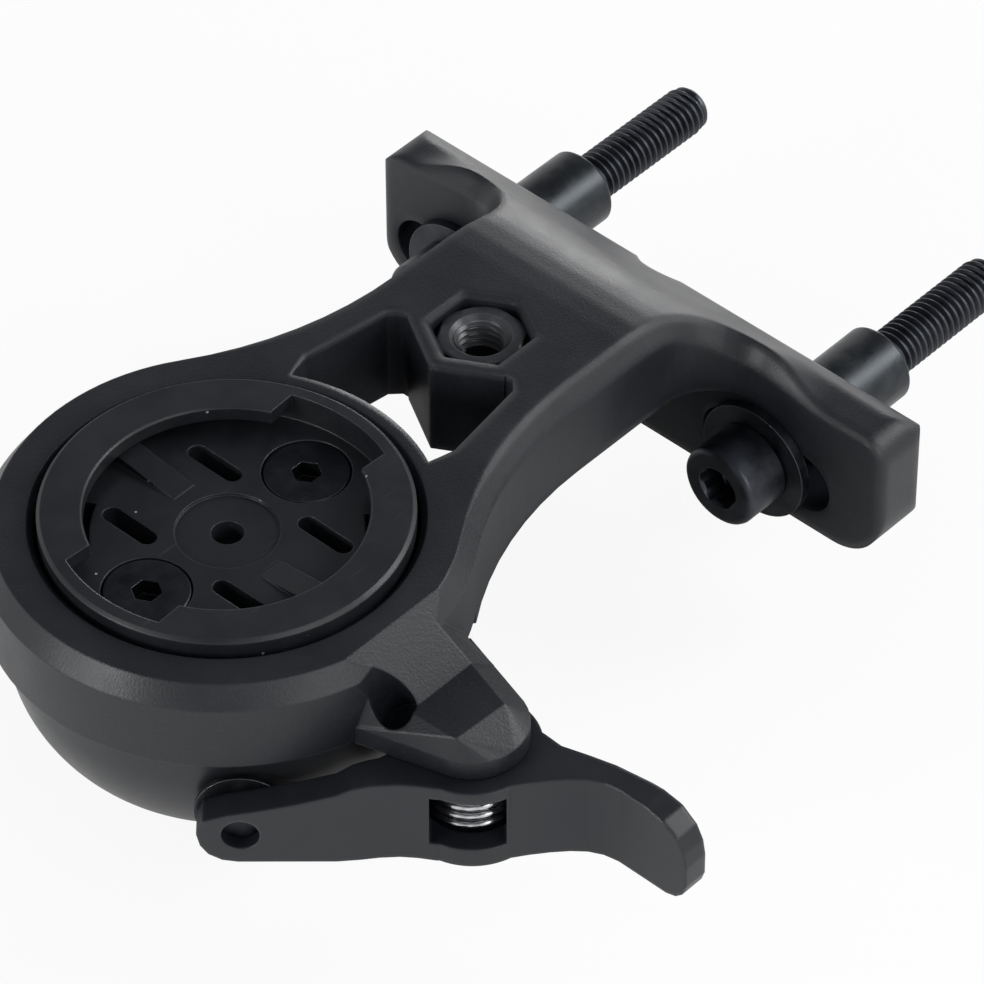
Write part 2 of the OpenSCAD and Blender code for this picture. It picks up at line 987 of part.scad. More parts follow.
module striker() {
    disc_r = 4.2;
    disc_t = 0.8;
    back = -3.36 + seat_gap;
    color([0.55, 0.55, 0.57])
        at_lever()
            translate([striker_x, 0, striker_z]) {
                bar_y(-4.9, back, striker_r);
                translate([0, back, 0])
                    rotate([-90, 0, 0]) {
                        cylinder(h = disc_t - 0.3, r = disc_r);
                        translate([0, 0, disc_t - 0.3])
                            cylinder(h = 0.3, r1 = disc_r, r2 = disc_r - 0.5);
                    }
            }
}

module pivot_screw() {
    seat = lever_bottom + counterbore_h - 0.35;
    head_h = 1.6;
    head_r = 2.85;
    tip = -6.2;
    color([0.09, 0.09, 0.1])
        at_lever()
            difference() {
                rotate_extrude()
                    polygon([
                        [0, tip],
                        [m3_r - 0.3, tip],
                        [m3_r, tip - 0.3],
                        [m3_r, seat],
                        [head_r, seat],
                        [head_r, seat - 0.5],
                        [head_r - 0.4, seat - 1.1],
                        [head_r - 1.1, seat - head_h],
                        [0, seat - head_h]
                    ]);
                prism(seat - head_h - 1, seat - 0.5)
                    hex_outline(2);
            }
}

module pivot_sleeve() {
    low = lever_bottom + counterbore_h - 0.3;
    color([0.6, 0.6, 0.62])
        at_lever()
            translate([0, 0, low])
                difference() {
                    cylinder(h = base_z - seat_gap - low, r = sleeve_r);
                    translate([0, 0, -1])
                        cylinder(h = 12, r = m3_r + 0.03);
                }
}

module pivot_bush() {
    color([0.75, 0.6, 0.3])
        translate([pin_x, pin_y, base_z + 3.5])
            bush(2.3, m3_r + press_gap, 3.5);
}

module lever_washer() {
    color([0.85, 0.85, 0.82])
        translate([pin_x, pin_y, lever_top + 0.03])
            difference() {
                cylinder(h = base_z - lever_top - 0.06, r = coil_r - wire_d / 2 - 0.1);
                translate([0, 0, -1])
                    cylinder(h = 2, r = sleeve_r + 0.05);
            }
}

// Path of the spring wire: a leg down into the lever, the coils, and a leg up into the boss
function spring_path() =
    let (
        from = 120,
        turned = 360 * coil_turns - 60,
        high = coil_low + coil_pitch * turned / 360,
        steps = 20 * coil_turns
    )
    concat(
        [[0, coil_r, leg_low], [0, coil_r, coil_low - 0.7]],
        [[-0.3, coil_r - 0.01, coil_low - 0.3], [-1.1, coil_r - 0.15, coil_low - 0.06]],
        [
            for (i = [0 : steps])
                let (a = from + turned * i / steps)
                    [coil_r * cos(a), coil_r * sin(a), between(coil_low, high, i / steps)]
        ],
        [[1.1, coil_r - 0.15, high + 0.06], [0.3, coil_r - 0.01, high + 0.3]],
        [[0, coil_r, high + 0.8], [0, coil_r, base_z + 1.2]]
    );

function unit(v) = v / norm(v);

// Octagon section of the wire square to its path
function wire_ring(path, i) =
    let (
        last = len(path) - 1,
        ahead = unit(path[min(i + 1, last)] - path[max(i - 1, 0)]),
        guide = abs(ahead[2]) > 0.8 ? [1, 0, 0] : [0, 0, 1],
        across = unit(cross(ahead, guide)),
        over = cross(across, ahead)
    )
    [
        for (k = [0 : 7])
            path[i] + wire_d / 2 * (cos(45 * k) * across + sin(45 * k) * over)
    ];

module torsion_spring() {
    path = spring_path();
    color([0.7, 0.7, 0.72])
        at_lever()
            loft([for (i = [0 : len(path) - 1]) wire_ring(path, i)]);
}

// Clamp bolt along Y with its head in front of the flange
module clamp_bolt() {
    seat = flange_y - washer_t - 2 * seat_gap;
    edge = 0.5;
    plain = back_y + spacer_len + 0.2 - seat;
    translate([0, seat, bolt_z])
        rotate([-90, 0, 0])
            difference() {
                rotate_extrude()
                    polygon([
                        [0, -bolt_head_h],
                        [bolt_head_r - edge, -bolt_head_h],
                        [bolt_head_r, edge - bolt_head_h],
                        [bolt_head_r, 0],
                        [bolt_neck_r, 0],
                        [bolt_neck_r, plain - 0.25],
                        [m5_r, plain],
                        [m5_r, bolt_len - 0.6],
                        [m5_r - 0.6, bolt_len],
                        [0, bolt_len]
                    ]);
                prism(-bolt_head_h - 1, 2.6 - bolt_head_h)
                    hex_outline(4);
            }
}

module left_bolt() {
    color([0.1, 0.1, 0.11])
        translate([-bolt_x, 0, 0])
            clamp_bolt();
}

module right_bolt() {
    color([0.1, 0.1, 0.11])
        translate([bolt_x, 0, 0])
            clamp_bolt();
}

module clamp_washer() {
    translate([0, flange_y - seat_gap, bolt_z])
        rotate([90, 0, 0])
            difference() {
                cylinder(h = washer_t, r = washer_r);
                translate([0, 0, -1])
                    cylinder(h = washer_t + 2, r = m5_r + 0.08);
            }
}

module left_washer() {
    color([0.12, 0.12, 0.13])
        translate([-bolt_x, 0, 0])
            clamp_washer();
}

module right_washer() {
    color([0.12, 0.12, 0.13])
        translate([bolt_x, 0, 0])
            clamp_washer();
}

// Spacer between the flange and the handlebar clamp
module clamp_spacer() {
    edge = 0.3;
    translate([0, back_y + seat_gap, bolt_z])
        rotate([-90, 0, 0])
            rotate_extrude()
                polygon([
                    [m5_r + 0.08, 0],
                    [spacer_r - edge, 0],
                    [spacer_r, edge],
                    [spacer_r, spacer_len - edge],
                    [spacer_r - edge, spacer_len],
                    [m5_r + 0.08, spacer_len]
                ]);
}

module left_spacer() {
    color([0.1, 0.1, 0.11])
        translate([-bolt_x, 0, 0])
            clamp_spacer();
}

module right_spacer() {
    color([0.1, 0.1, 0.11])
        translate([bolt_x, 0, 0])
            clamp_spacer();
}

bracket();
computer_insert();
rear_insert_screw();
front_insert_screw();
rear_insert_bush();
front_insert_bush();
accessory_nut();
bell_dome();
bell_grommet();
bell_screw();
bell_bush();
lever();
striker();
pivot_screw();
pivot_sleeve();
pivot_bush();
lever_washer();
torsion_spring();
left_bolt();
right_bolt();
left_washer();
right_washer();
left_spacer();
right_spacer();
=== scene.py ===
import math

import bmesh
import bpy
from mathutils import Matrix, Vector


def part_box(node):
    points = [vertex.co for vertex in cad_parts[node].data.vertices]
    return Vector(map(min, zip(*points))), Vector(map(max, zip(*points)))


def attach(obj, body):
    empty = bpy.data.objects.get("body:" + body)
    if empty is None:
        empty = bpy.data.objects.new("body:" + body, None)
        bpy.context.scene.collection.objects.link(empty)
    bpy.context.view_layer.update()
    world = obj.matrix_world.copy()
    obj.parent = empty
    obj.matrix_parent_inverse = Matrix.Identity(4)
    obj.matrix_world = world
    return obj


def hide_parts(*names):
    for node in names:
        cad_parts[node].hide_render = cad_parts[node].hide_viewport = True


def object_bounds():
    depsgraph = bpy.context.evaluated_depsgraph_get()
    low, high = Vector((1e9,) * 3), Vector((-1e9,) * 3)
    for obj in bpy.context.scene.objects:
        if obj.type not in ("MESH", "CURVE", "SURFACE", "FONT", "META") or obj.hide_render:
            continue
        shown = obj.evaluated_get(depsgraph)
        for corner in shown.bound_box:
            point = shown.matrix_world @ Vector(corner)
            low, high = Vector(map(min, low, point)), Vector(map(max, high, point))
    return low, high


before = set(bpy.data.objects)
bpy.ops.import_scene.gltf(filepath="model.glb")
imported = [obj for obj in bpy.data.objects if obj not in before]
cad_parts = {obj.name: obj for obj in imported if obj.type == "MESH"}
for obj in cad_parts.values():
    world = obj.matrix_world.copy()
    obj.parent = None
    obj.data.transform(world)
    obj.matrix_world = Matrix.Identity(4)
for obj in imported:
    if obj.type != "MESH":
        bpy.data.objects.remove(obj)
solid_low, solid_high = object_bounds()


# Bracket: one moulding in glass filled black nylon, straight from a spark eroded mould.
# The mould leaves a fine sandy grain on the flats and small radii along all its edges, and the
# edges are lightened in colour as a painted highlight.
def add_node(tree, kind, values=None, **settings):
    """Adds a shader node, sets its named settings and then its input values."""
    node = tree.nodes.new("ShaderNode" + kind)
    for name, setting in settings.items():
        setattr(node, name, setting)
    for name, value in (values or {}).items():
        node.inputs[name].default_value = value
    return node


def new_group(name, inputs, outputs):
    """Starts a shader node group whose inputs and outputs are all single values or vectors."""
    group = bpy.data.node_groups.new(name, "ShaderNodeTree")
    for label, value in inputs.items():
        group.interface.new_socket(label, in_out="INPUT", socket_type="NodeSocketFloat").default_value = value
    for label, kind in outputs.items():
        group.interface.new_socket(label, in_out="OUTPUT", socket_type="NodeSocket" + kind)
    return group, group.nodes.new("NodeGroupInput").outputs, group.nodes.new("NodeGroupOutput").inputs


def use_group(tree, group, **values):
    """Places a group in a material and sets its inputs, written with _ for a space."""
    node = tree.nodes.new("ShaderNodeGroup")
    node.node_tree = group
    for name, value in values.items():
        node.inputs[name.replace("_", " ")].default_value = value
    return node


def make_rounded_edge():
    """Rounds the normal over the sharp edges of a piece and marks where they are."""
    group, given, result = new_group(
        "rounded_edge", {"Radius": 0.0003}, {"Normal": "Vector", "Edge": "Float"}
    )
    join = group.links.new
    bevel = add_node(group, "Bevel", samples=6)
    join(given["Radius"], bevel.inputs["Radius"])
    true_face = add_node(group, "NewGeometry")
    agree = add_node(group, "VectorMath", operation="DOT_PRODUCT")
    join(bevel.outputs["Normal"], agree.inputs[0])
    join(true_face.outputs["Normal"], agree.inputs[1])
    mark = add_node(group, "MapRange", {"From Min": 0.99, "From Max": 0.8})
    join(agree.outputs["Value"], mark.inputs["Value"])
    join(bevel.outputs["Normal"], result["Normal"])
    join(mark.outputs["Result"], result["Edge"])
    return group


def make_moulded_grain():
    """Sandy grain of a spark eroded mould, with pale specks and slow cloudy changes."""
    group, given, result = new_group(
        "moulded_grain",
        {"Grain": 9000, "Clouds": 90},
        {"Height": "Float", "Speck": "Float", "Cloud": "Float"},
    )
    join = group.links.new
    place = add_node(group, "TexCoord").outputs["Object"]
    sand = add_node(group, "TexNoise", {"Detail": 3, "Roughness": 0.62})
    join(place, sand.inputs["Vector"])
    join(given["Grain"], sand.inputs["Scale"])
    pits = add_node(group, "TexVoronoi", {"Randomness": 1}, feature="SMOOTH_F1")
    join(place, pits.inputs["Vector"])
    join(given["Grain"], pits.inputs["Scale"])
    height = add_node(group, "Math", operation="ADD")
    join(sand.outputs["Fac"], height.inputs[0])
    join(pits.outputs["Distance"], height.inputs[1])
    finer = add_node(group, "Math", {1: 1.7}, operation="MULTIPLY")
    join(given["Grain"], finer.inputs[0])
    dust = add_node(group, "TexNoise", {"Detail": 1, "Roughness": 0.5})
    join(place, dust.inputs["Vector"])
    join(finer.outputs[0], dust.inputs["Scale"])
    speck = add_node(group, "MapRange", {"From Min": 0.6, "From Max": 0.78})
    join(dust.outputs["Fac"], speck.inputs["Value"])
    slow = add_node(group, "TexNoise", {"Detail": 4, "Roughness": 0.6})
    join(place, slow.inputs["Vector"])
    join(given["Clouds"], slow.inputs["Scale"])
    cloud = add_node(group, "MapRange", {"From Min": 0.32, "From Max": 0.68})
    join(slow.outputs["Fac"], cloud.inputs["Value"])
    join(height.outputs[0], result["Height"])
    join(speck.outputs["Result"], result["Speck"])
    join(cloud.outputs["Result"], result["Cloud"])
    return group


rounded_edge = make_rounded_edge()
moulded_grain = make_moulded_grain()


def mix_colours(tree, mask, first, second):
    """Mixes two colours, each a socket or a plain colour, by a mask."""
    mix = add_node(tree, "Mix", data_type="RGBA")
    tree.links.new(mask, mix.inputs[0])
    for slot, colour in ((6, first), (7, second)):
        if isinstance(colour, tuple):
            mix.inputs[slot].default_value = (*colour, 1)
        else:
            tree.links.new(colour, mix.inputs[slot])
    return mix.outputs[2]


def vary(tree, mask, low, high):
    """Turns a mask from 0 to 1 into a value from low to high."""
    node = add_node(tree, "MapRange", {"To Min": low, "To Max": high})
    tree.links.new(mask, node.inputs["Value"])
    return node.outputs["Result"]


def moulded_nylon(name, dark, pale, speck_and_sheen, grain, depth, roughness, corner, far_corner=None):
    """Glass filled black nylon with a grain of the given depth and edges rounded by corner, in metres.

    Hollows that see little of the open sky shine less, a painted shade. The sharp edges are lightened
    toward the pale speck colour as a painted highlight. With a far_corner, the rounding grows to
    it along Y, from the head to the neck.
    """
    material = bpy.data.materials.new(name)
    material.use_nodes = True
    tree = material.node_tree
    join = tree.links.new
    shader = tree.nodes["Principled BSDF"]
    # Painted shade: ambient occlusion turns the shine down in hollows.
    open_sky = add_node(tree, "AmbientOcclusion", {"Distance": 0.009}, samples=6)
    join(vary(tree, open_sky.outputs["AO"], -0.3, 0.42), shader.inputs["Specular IOR Level"])
    sand = use_group(tree, moulded_grain, Grain=grain)
    corners = use_group(tree, rounded_edge, Radius=corner)
    if far_corner:
        place = add_node(tree, "SeparateXYZ")
        join(add_node(tree, "TexCoord").outputs["Object"], place.inputs[0])
        growth = add_node(
            tree, "MapRange", {"From Min": 0.014, "From Max": 0.022, "To Min": corner, "To Max": far_corner}
        )
        join(place.outputs["Y"], growth.inputs["Value"])
        join(growth.outputs["Result"], corners.inputs["Radius"])
    clouded = mix_colours(tree, sand.outputs["Cloud"], dark, pale)
    specked = mix_colours(tree, vary(tree, sand.outputs["Speck"], 0, 0.5), clouded, speck_and_sheen)
    # Painted highlight: the sharp edges are lightened toward the pale speck colour.
    edge_lightened = mix_colours(tree, vary(tree, corners.outputs["Edge"], 0, 0.6), specked, speck_and_sheen)
    join(edge_lightened, shader.inputs["Base Color"])
    dull = vary(tree, sand.outputs["Cloud"], roughness, roughness + 0.12)
    polish = add_node(tree, "Math", operation="SUBTRACT")
    join(dull, polish.inputs[0])
    join(vary(tree, corners.outputs["Edge"], 0, 0.12), polish.inputs[1])
    join(polish.outputs[0], shader.inputs["Roughness"])
    bump = add_node(tree, "Bump", {"Strength": 1, "Distance": depth})
    join(sand.outputs["Height"], bump.inputs["Height"])
    join(corners.outputs["Normal"], bump.inputs["Normal"])
    join(bump.outputs["Normal"], shader.inputs["Normal"])
    return material


def dress(material, *names):
    """Gives carried over pieces their finish."""
    for name in names:
        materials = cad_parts[name].data.materials
        materials.clear()
        materials.append(material)


bracket_nylon = moulded_nylon(
    "bracket_nylon",
    dark=(0.0075, 0.0088, 0.0115),
    pale=(0.0125, 0.0142, 0.0178),
    speck_and_sheen=(0.040, 0.043, 0.049),
    grain=4400,
    depth=0.000012,
    roughness=0.37,
    corner=0.0003,
    far_corner=0.0014,
)
dress(bracket_nylon, "bracket")


# Computer insert: a quarter turn socket in smooth, harder black plastic.
# Computers twisted in and out leave fine scratches on the ring, and lint lies on the floor.
def make_fine_scratches():
    """Hair lines that run across a surface in four directions."""
    group, given, result = new_group("fine_scratches", {"Scale": 1, "Cover": 0.1}, {"Line": "Float"})
    join = group.links.new
    place = add_node(group, "TexCoord").outputs["Object"]
    along = 110
    total = None
    for turn, across in ((0.35, 2300), (1.25, 3100), (2.1, 2600), (2.85, 3500)):
        lie = add_node(
            group, "Mapping", {"Rotation": (0.2 * turn, 0.3, turn), "Scale": (across, along, across)}
        )
        join(place, lie.inputs["Vector"])
        hair = add_node(group, "TexNoise", {"Detail": 1, "Roughness": 0.4})
        join(lie.outputs["Vector"], hair.inputs["Vector"])
        join(given["Scale"], hair.inputs["Scale"])
        line = add_node(group, "MapRange", {"From Min": 0.77, "From Max": 0.83})
        join(hair.outputs["Fac"], line.inputs["Value"])
        if total is None:
            total = line.outputs["Result"]
            continue
        more = add_node(group, "Math", operation="MAXIMUM")
        join(total, more.inputs[0])
        join(line.outputs["Result"], more.inputs[1])
        total = more.outputs[0]
    thin = add_node(group, "Math", operation="MULTIPLY")
    join(total, thin.inputs[0])
    join(given["Cover"], thin.inputs[1])
    join(thin.outputs[0], result["Line"])
    return group


def make_lint():
    """Small white specks that lie here and there."""
    group, given, result = new_group("lint", {"Spread": 420, "Size": 0.05}, {"Speck": "Float"})
    join = group.links.new
    place = add_node(group, "TexCoord").outputs["Object"]
    cells = add_node(group, "TexVoronoi", {"Randomness": 1}, feature="F1")
    join(place, cells.inputs["Vector"])
    join(given["Spread"], cells.inputs["Scale"])
    near = add_node(group, "Math", operation="LESS_THAN")
    join(cells.outputs["Distance"], near.inputs[0])
    join(given["Size"], near.inputs[1])
    lot = add_node(group, "SeparateColor")
    join(cells.outputs["Color"], lot.inputs[0])
    chosen = add_node(group, "Math", {1: 0.7}, operation="GREATER_THAN")
    join(lot.outputs[0], chosen.inputs[0])
    both = add_node(group, "Math", operation="MULTIPLY")
    join(near.outputs[0], both.inputs[0])
    join(chosen.outputs[0], both.inputs[1])
    join(both.outputs[0], result["Speck"])
    return group


fine_scratches = make_fine_scratches()
lint = make_lint()


def smooth_plastic(name, dark, pale, roughness, scratch, specks, corner):
    """Smooth black plastic with hair scratches, a faint waviness and a little lint; its sharp edges are
    lightened as a painted highlight.
    """
    material = bpy.data.materials.new(name)
    material.use_nodes = True
    tree = material.node_tree
    join = tree.links.new
    shader = tree.nodes["Principled BSDF"]
    shader.inputs["Specular IOR Level"].default_value = 0.45
    sand = use_group(tree, moulded_grain, Grain=5200, Clouds=160)
    corners = use_group(tree, rounded_edge, Radius=corner)
    hairs = use_group(tree, fine_scratches, Cover=scratch)
    fluff = use_group(tree, lint, Size=specks)
    clouded = mix_colours(tree, sand.outputs["Cloud"], dark, pale)
    # Painted highlight: the sharp edges are lightened toward a paler grey.
    edge_lightened = mix_colours(tree, vary(tree, corners.outputs["Edge"], 0, 0.5), clouded, (0.045, 0.048, 0.054))
    scratched = mix_colours(tree, hairs.outputs["Line"], edge_lightened, (0.075, 0.08, 0.088))
    join(mix_colours(tree, fluff.outputs["Speck"], scratched, (0.3, 0.31, 0.33)), shader.inputs["Base Color"])
    dull = vary(tree, sand.outputs["Cloud"], roughness, roughness + 0.1)
    scored = add_node(tree, "Math", operation="ADD")
    join(dull, scored.inputs[0])
    join(vary(tree, hairs.outputs["Line"], 0, 0.2), scored.inputs[1])
    join(scored.outputs[0], shader.inputs["Roughness"])
    bump = add_node(tree, "Bump", {"Strength": 1, "Distance": 0.000004})
    join(sand.outputs["Height"], bump.inputs["Height"])
    join(corners.outputs["Normal"], bump.inputs["Normal"])
    join(bump.outputs["Normal"], shader.inputs["Normal"])
    return material


insert_plastic = smooth_plastic(
    "insert_plastic",
    dark=(0.0065, 0.0078, 0.0098),
    pale=(0.0105, 0.0122, 0.0150),
    roughness=0.36,
    scratch=0.3,
    specks=0.05,
    corner=0.00022,
)
dress(insert_plastic, "computer_insert")


# Insert screws: countersunk socket screws in black oxide steel, driven into brass bushes.
# The oxide is thin on the edges, so bright steel shows there; the bright edges are partly a painted
# highlight.
def plated_metal(name, coat, worn_and_sheen, roughness, edge_wear_and_sheen, corner, metallic=1.0):
    """Metal under a thin dark coat that has come off along its edges; the paler edges are partly bare metal
    and partly a painted highlight.
    """
    material = bpy.data.materials.new(name)
    material.use_nodes = True
    tree = material.node_tree
    join = tree.links.new
    shader = tree.nodes["Principled BSDF"]
    shader.inputs["Metallic"].default_value = metallic
    sand = use_group(tree, moulded_grain, Grain=4200, Clouds=420)
    corners = use_group(tree, rounded_edge, Radius=corner)
    hairs = use_group(tree, fine_scratches, Cover=0.12)
    paler = tuple(min(1, 1.7 * part) for part in coat)
    clouded = mix_colours(tree, sand.outputs["Cloud"], coat, paler)
    # Partly painted highlight: the sharp edges are lightened toward bare metal.
    edge_lightened = mix_colours(tree, vary(tree, corners.outputs["Edge"], 0, edge_wear_and_sheen), clouded, worn_and_sheen)
    join(mix_colours(tree, hairs.outputs["Line"], edge_lightened, worn_and_sheen), shader.inputs["Base Color"])
    join(vary(tree, sand.outputs["Cloud"], roughness, roughness + 0.14), shader.inputs["Roughness"])
    bump = add_node(tree, "Bump", {"Strength": 1, "Distance": 0.000006})
    join(sand.outputs["Height"], bump.inputs["Height"])
    join(corners.outputs["Normal"], bump.inputs["Normal"])
    join(bump.outputs["Normal"], shader.inputs["Normal"])
    return material


screw_steel = plated_metal("screw_steel", (0.028, 0.030, 0.034), (0.16, 0.165, 0.175), 0.36, 0.7, 0.00012)
bush_brass = plated_metal("bush_brass", (0.62, 0.42, 0.15), (0.86, 0.64, 0.30), 0.24, 0.5, 0.0001)
dress(screw_steel, "rear_insert_screw", "front_insert_screw")
dress(bush_brass, "rear_insert_bush", "front_insert_bush")


# Accessory nut: a blackened steel hexagon nut pressed into its pocket in the neck.
# Its corners are chamfered and its thread is cut right through.
def stack_rings(bm, rings, sides=48):
    """Joins rings of points into one closed skin. A ring is its form, its radius and its height in mm.

    A round ring has that radius, a hexagon ring has that distance to its flats, and a chamfered
    one is a hexagon whose corners sink as a cone does.
    """
    loops = []
    for form, radius, height in rings:
        loop = []
        for i in range(sides):
            turn = math.tau * i / sides
            reach = radius
            if form != "round":
                reach /= math.cos(turn % math.radians(60) - math.radians(30))
            sink = 0.5 * (reach - radius) if form == "chamfered" else 0
            loop.append(bm.verts.new((reach * math.cos(turn), reach * math.sin(turn), height - sink)))
        if loops:
            for i in range(sides):
                bm.faces.new((loops[-1][i - 1], loops[-1][i], loop[i], loop[i - 1]))
        loops.append(loop)
    return loops


def wind_thread(bm, foot, crest, pitch, low, high):
    """Winds a V shaped ridge around Z from low to high, closed at both ends."""
    half = 0.45 * pitch
    flat = pitch / 14
    steps = round(36 * (high - low) / pitch)
    last = None
    for step in range(steps + 1):
        level = low + (high - low) * step / steps
        turn = math.tau * (level - low) / pitch
        corners = ((foot, -half), (crest, -flat), (crest, flat), (foot, half))
        section = [bm.verts.new((r * math.cos(turn), r * math.sin(turn), level + z)) for r, z in corners]
        if last:
            for i in range(4):
                bm.faces.new((last[i], last[i - 1], section[i - 1], section[i]))
        else:
            bm.faces.new(section)
        last = section
    bm.faces.new(last[::-1])


def finish_piece(bm, name, place, material, slot, body, *stood_for):
    """Sets a mesh drawn in mm in its place, and gives it its finish, its body and what it stands for."""
    bmesh.ops.transform(bm, matrix=place @ Matrix.Scale(0.001, 4), verts=bm.verts)
    bmesh.ops.recalc_face_normals(bm, faces=bm.faces)
    mesh = bpy.data.meshes.new(name)
    bm.to_mesh(mesh)
    bm.free()
    mesh.shade_smooth()
    mesh.set_sharp_from_angle(angle=math.radians(32))
    mesh.materials.append(material)
    piece = bpy.data.objects.new(name, mesh)
    bpy.context.scene.collection.objects.link(piece)
    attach(piece, body)
    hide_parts(*stood_for)


# The nut's pale rims and thread crests are partly a painted highlight.
nut_steel = plated_metal(
    "nut_steel", (0.028, 0.029, 0.032), (0.20, 0.205, 0.22), 0.3, 0.9, 0.00012, metallic=0.3
)
nut = bmesh.new()
stack_rings(
    nut,
    [
        ("round", 2.48, -4.5),
        ("round", 2.85, -4.86),
        ("hexagon", 3.96, -4.86),
        ("chamfered", 3.96, -1.02),
        ("round", 3.8, -0.9),
        ("round", 2.95, -0.9),
        ("round", 2.48, -1.36),
        ("round", 2.48, -4.5),
    ],
)
bmesh.ops.remove_doubles(nut, verts=nut.verts, dist=0.0001)
wind_thread(nut, foot=2.52, crest=2.12, pitch=0.8, low=-4.45, high=-1.45)
nut_low, nut_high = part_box("accessory_nut")
nut_axis = Matrix.Translation(((nut_low[0] + nut_high[0]) / 2, (nut_low[1] + nut_high[1]) / 2, 0))
finish_piece(nut, "threaded_nut", nut_axis, nut_steel, "nut", "mount_body", "accessory_nut")


# Bell: a pressed dome under satin black lacquer, hung from its post on a rubber grommet.
# A button head screw with a brass bush in the post holds it.
bell_lacquer = smooth_plastic(
    "bell_lacquer",
    dark=(0.010, 0.0112, 0.0135),
    pale=(0.015, 0.0165, 0.0195),
    roughness=0.3,
    scratch=0.3,
    specks=0,
    corner=0.0003,
)
grommet_rubber = moulded_nylon(
    "grommet_rubber",
    dark=(0.014, 0.014, 0.014),
    pale=(0.022, 0.022, 0.022),
    speck_and_sheen=(0.05, 0.05, 0.05),
    grain=5200,
    depth=0.000012,
    roughness=0.68,
    corner=0.0002,
)
dome_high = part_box("bell_dome")[1]
wide = 1000 * dome_high[0]
rim = 1000 * dome_high[2]
wall = 1.2
skirt = rim - 3.1
bowl = 16
arc = [math.radians(8.2 + 81.8 * step / 30) for step in range(31)]
outside = [("round", wide * math.sin(a), skirt - bowl * math.cos(a)) for a in arc]
lip = [("round", wide, rim - 0.3), ("round", wide - 0.3, rim), ("round", wide - wall, rim)]
inside = [("round", (wide - wall) * math.sin(a), skirt - (bowl - wall) * math.cos(a)) for a in reversed(arc)]
dome = bmesh.new()
stack_rings(dome, outside + lip + inside + outside[:1], sides=160)
bmesh.ops.remove_doubles(dome, verts=dome.verts, dist=0.0001)
finish_piece(dome, "pressed_dome", Matrix(), bell_lacquer, "bell", "mount_body", "bell_dome")
dress(grommet_rubber, "bell_grommet")
dress(screw_steel, "bell_screw")
dress(bush_brass, "bell_bush")


# Lever: a thumb lever in black nylon, a little smoother than the bracket, that turns on a
# steel sleeve between a white slip washer and the head of the pivot screw.
lever_nylon = moulded_nylon(
    "lever_nylon",
    dark=(0.0088, 0.0102, 0.0132),
    pale=(0.0128, 0.0146, 0.0184),
    speck_and_sheen=(0.036, 0.039, 0.045),
    grain=9500,
    depth=0.000004,
    roughness=0.36,
    corner=0.0005,
)
washer_nylon = moulded_nylon(
    "washer_nylon",
    dark=(0.60, 0.59, 0.55),
    pale=(0.70, 0.69, 0.65),
    speck_and_sheen=(0.78, 0.77, 0.73),
    grain=5200,
    depth=0.000005,
    roughness=0.45,
    corner=0.0001,
)
sleeve_steel = plated_metal("sleeve_steel", (0.46, 0.46, 0.47), (0.72, 0.72, 0.73), 0.2, 0.4, 0.0001)
dress(lever_nylon, "lever")
dress(washer_nylon, "lever_washer")
dress(sleeve_steel, "pivot_sleeve")
dress(screw_steel, "pivot_screw", "striker")
dress(bush_brass, "pivot_bush")


# Return spring: hard drawn bright steel wire, seen through the window in the lever's barrel.
# The wire is drawn round, so the faceted solid is welded and smoothed.
spring_wire = plated_metal("spring_wire", (0.42, 0.42, 0.43), (0.70, 0.70, 0.71), 0.16, 0.2, 0.00005)
dress(spring_wire, "torsion_spring")
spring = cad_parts["torsion_spring"]
weld = spring.modifiers.new("weld", "WELD")
weld.merge_threshold = 0.000002
smooth_wire = spring.modifiers.new("smooth_wire", "SUBSURF")
smooth_wire.levels = 2
smooth_wire.render_levels = 2


# Clamp bolts: M5 socket head screws in black oxide steel that draw the handlebar clamp on.
# Each has a hexagon socket, a plain neck under its head and a rolled thread to a chamfered tip.
bolt_steel = plated_metal("bolt_steel", (0.042, 0.045, 0.052), (0.13, 0.135, 0.145), 0.36, 0.5, 0.00015)


def clamp_bolt():
    """A clamp bolt on the Z axis in mm, with the underside of its head at zero."""
    crest = 2.49
    taper_start = 33.7
    bm = bmesh.new()
    loops = stack_rings(
        bm,
        [
            ("round", 0.4, -1.7),
            ("round", 1.95, -2.35),
            ("hexagon", 2.0, -2.4),
            ("hexagon", 2.0, -4.7),
            ("round", 2.25, -5.0),
            ("round", 3.55, -5.0),
            ("round", 3.86, -4.93),
            ("round", 4.09, -4.74),
            ("round", 4.2, -4.45),
            ("round", 4.2, -0.2),
            ("round", 4.05, 0),
            ("round", 2.75, 0),
            ("round", 2.44, 0.3),
            ("round", 2.44, 18.2),
            ("round", 2.03, 18.7),
            ("round", 2.03, 34.05),
            ("round", 2.28, 34.3),
            ("round", 2.28, 34.62),
            ("round", 1.96, 35),
        ],
    )
    bm.faces.new(loops[0])
    bm.faces.new(loops[-1])
    plain = len(bm.verts)
    wind_thread(bm, foot=1.98, crest=crest, pitch=0.8, low=18.8, high=34.2)
    bm.verts.ensure_lookup_table()
    for point in bm.verts[plain:]:
        reach = math.hypot(point.co.x, point.co.y)
        limit = crest - 0.4 * max(0, point.co.z - taper_start)
        if reach > limit:
            point.co.x *= limit / reach
            point.co.y *= limit / reach
    return bm


head_height = 0.005
for side in ("left", "right"):
    low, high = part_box(side + "_bolt")
    seat = low[1] + head_height
    across = (low[0] + high[0]) / 2
    drop = (low[2] + high[2]) / 2
    place = Matrix.Translation((across, seat, drop)) @ Matrix.Rotation(-math.pi / 2, 4, "X")
    finish_piece(
        clamp_bolt(), side + "_threaded_bolt", place, bolt_steel, "bolts", side + "_screw", side + "_bolt"
    )


